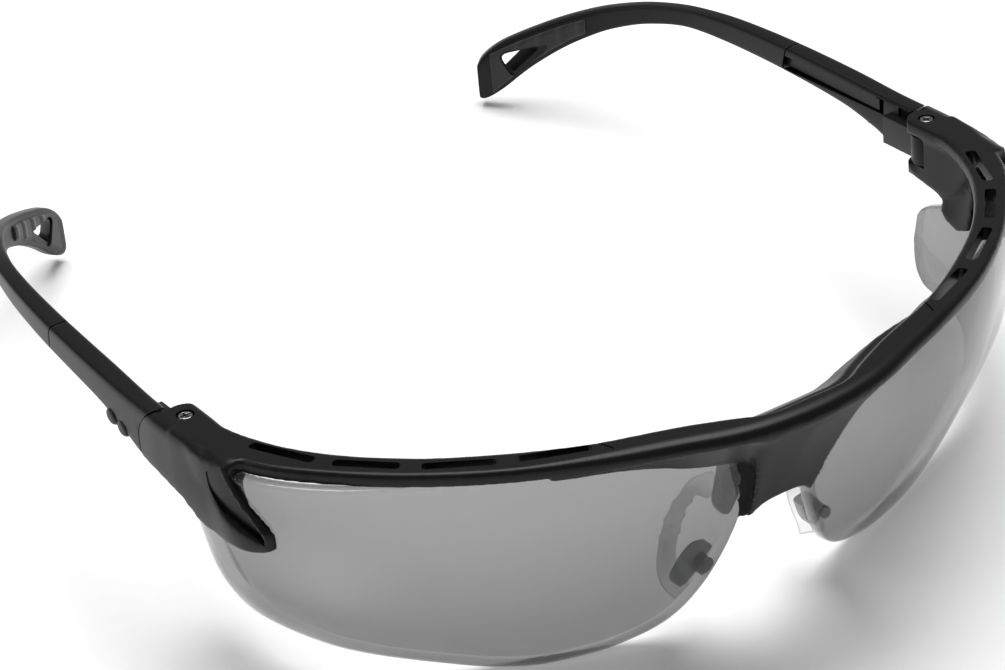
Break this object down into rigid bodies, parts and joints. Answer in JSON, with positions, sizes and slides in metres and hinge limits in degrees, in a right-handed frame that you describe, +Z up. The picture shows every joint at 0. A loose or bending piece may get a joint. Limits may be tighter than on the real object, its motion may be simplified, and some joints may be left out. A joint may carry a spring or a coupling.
{
  "type": "safety glasses",
  "caption": "Wraparound half-frame safety glasses with a vented brow bar, tinted shield lens, soft nose loops and folding temples that slide to set their length.",
  "frame": {"origin": "on the table, under the middle of the bounding box of the open glasses standing on lens and temple tips", "axes": "+X towards the wearer's left, +Y back along the temples, +Z up"},
  "size_m": [0.1446, 0.148, 0.0454],
  "materials": {
    "nylon": "black moulded nylon, satin",
    "tinted_lens": "grey polycarbonate with a light mirror coat",
    "smoke_plastic": "smoky translucent plastic, polished",
    "clear_elastomer": "clear grey soft elastomer",
    "screw_steel": "bright plated steel",
    "insert_brass": "turned brass",
    "soft_touch": "charcoal soft-touch rubber, matte"
  },
  "bodies": {
    "front": {"frame_front": "nylon", "lens": "tinted_lens", "nose_bracket": "smoke_plastic", "nose_pad_left": "clear_elastomer", "nose_pad_right": "clear_elastomer", "pad_clip_left": "smoke_plastic", "pad_clip_right": "smoke_plastic", "clip_peg_left": "smoke_plastic", "clip_peg_right": "smoke_plastic", "hinge_screw_left": "screw_steel", "hinge_screw_right": "screw_steel", "hinge_insert_left": "insert_brass", "hinge_insert_right": "insert_brass"},
    "temple_left": {"temple_sleeve_left": "nylon"},
    "arm_left": {"temple_arm_left": "nylon", "tip_grip_left": "soft_touch"},
    "latch_left": {"length_latch_left": "nylon"},
    "temple_right": {"temple_sleeve_right": "nylon"},
    "arm_right": {"temple_arm_right": "nylon", "tip_grip_right": "soft_touch"},
    "latch_right": {"length_latch_right": "nylon"}
  },
  "joints": [
    {"name": "temple_fold_left", "type": "hinge", "parent": "front", "child": "temple_left", "pos_m": [0.068, -0.01661, 0.03087], "axis": [0, 0.165, 0.9863], "range_deg": [0, 90]},
    {"name": "arm_slide_left", "type": "slide", "parent": "temple_left", "child": "arm_left", "axis": [0, 0.9863, -0.165], "range_m": [0, 0.008]},
    {"name": "latch_press_left", "type": "slide", "parent": "temple_left", "child": "latch_left", "axis": [0, 0.165, 0.9863], "range_m": [0, 0.0008], "stiffness_N_per_m": 400},
    {"name": "temple_fold_right", "type": "hinge", "parent": "front", "child": "temple_right", "pos_m": [-0.068, -0.01661, 0.03087], "axis": [0, -0.165, -0.9863], "range_deg": [0, 78]},
    {"name": "arm_slide_right", "type": "slide", "parent": "temple_right", "child": "arm_right", "axis": [0, 0.9863, -0.165], "range_m": [0, 0.008]},
    {"name": "latch_press_right", "type": "slide", "parent": "temple_right", "child": "latch_right", "axis": [0, 0.165, 0.9863], "range_m": [0, 0.0008], "stiffness_N_per_m": 400}
  ]
}
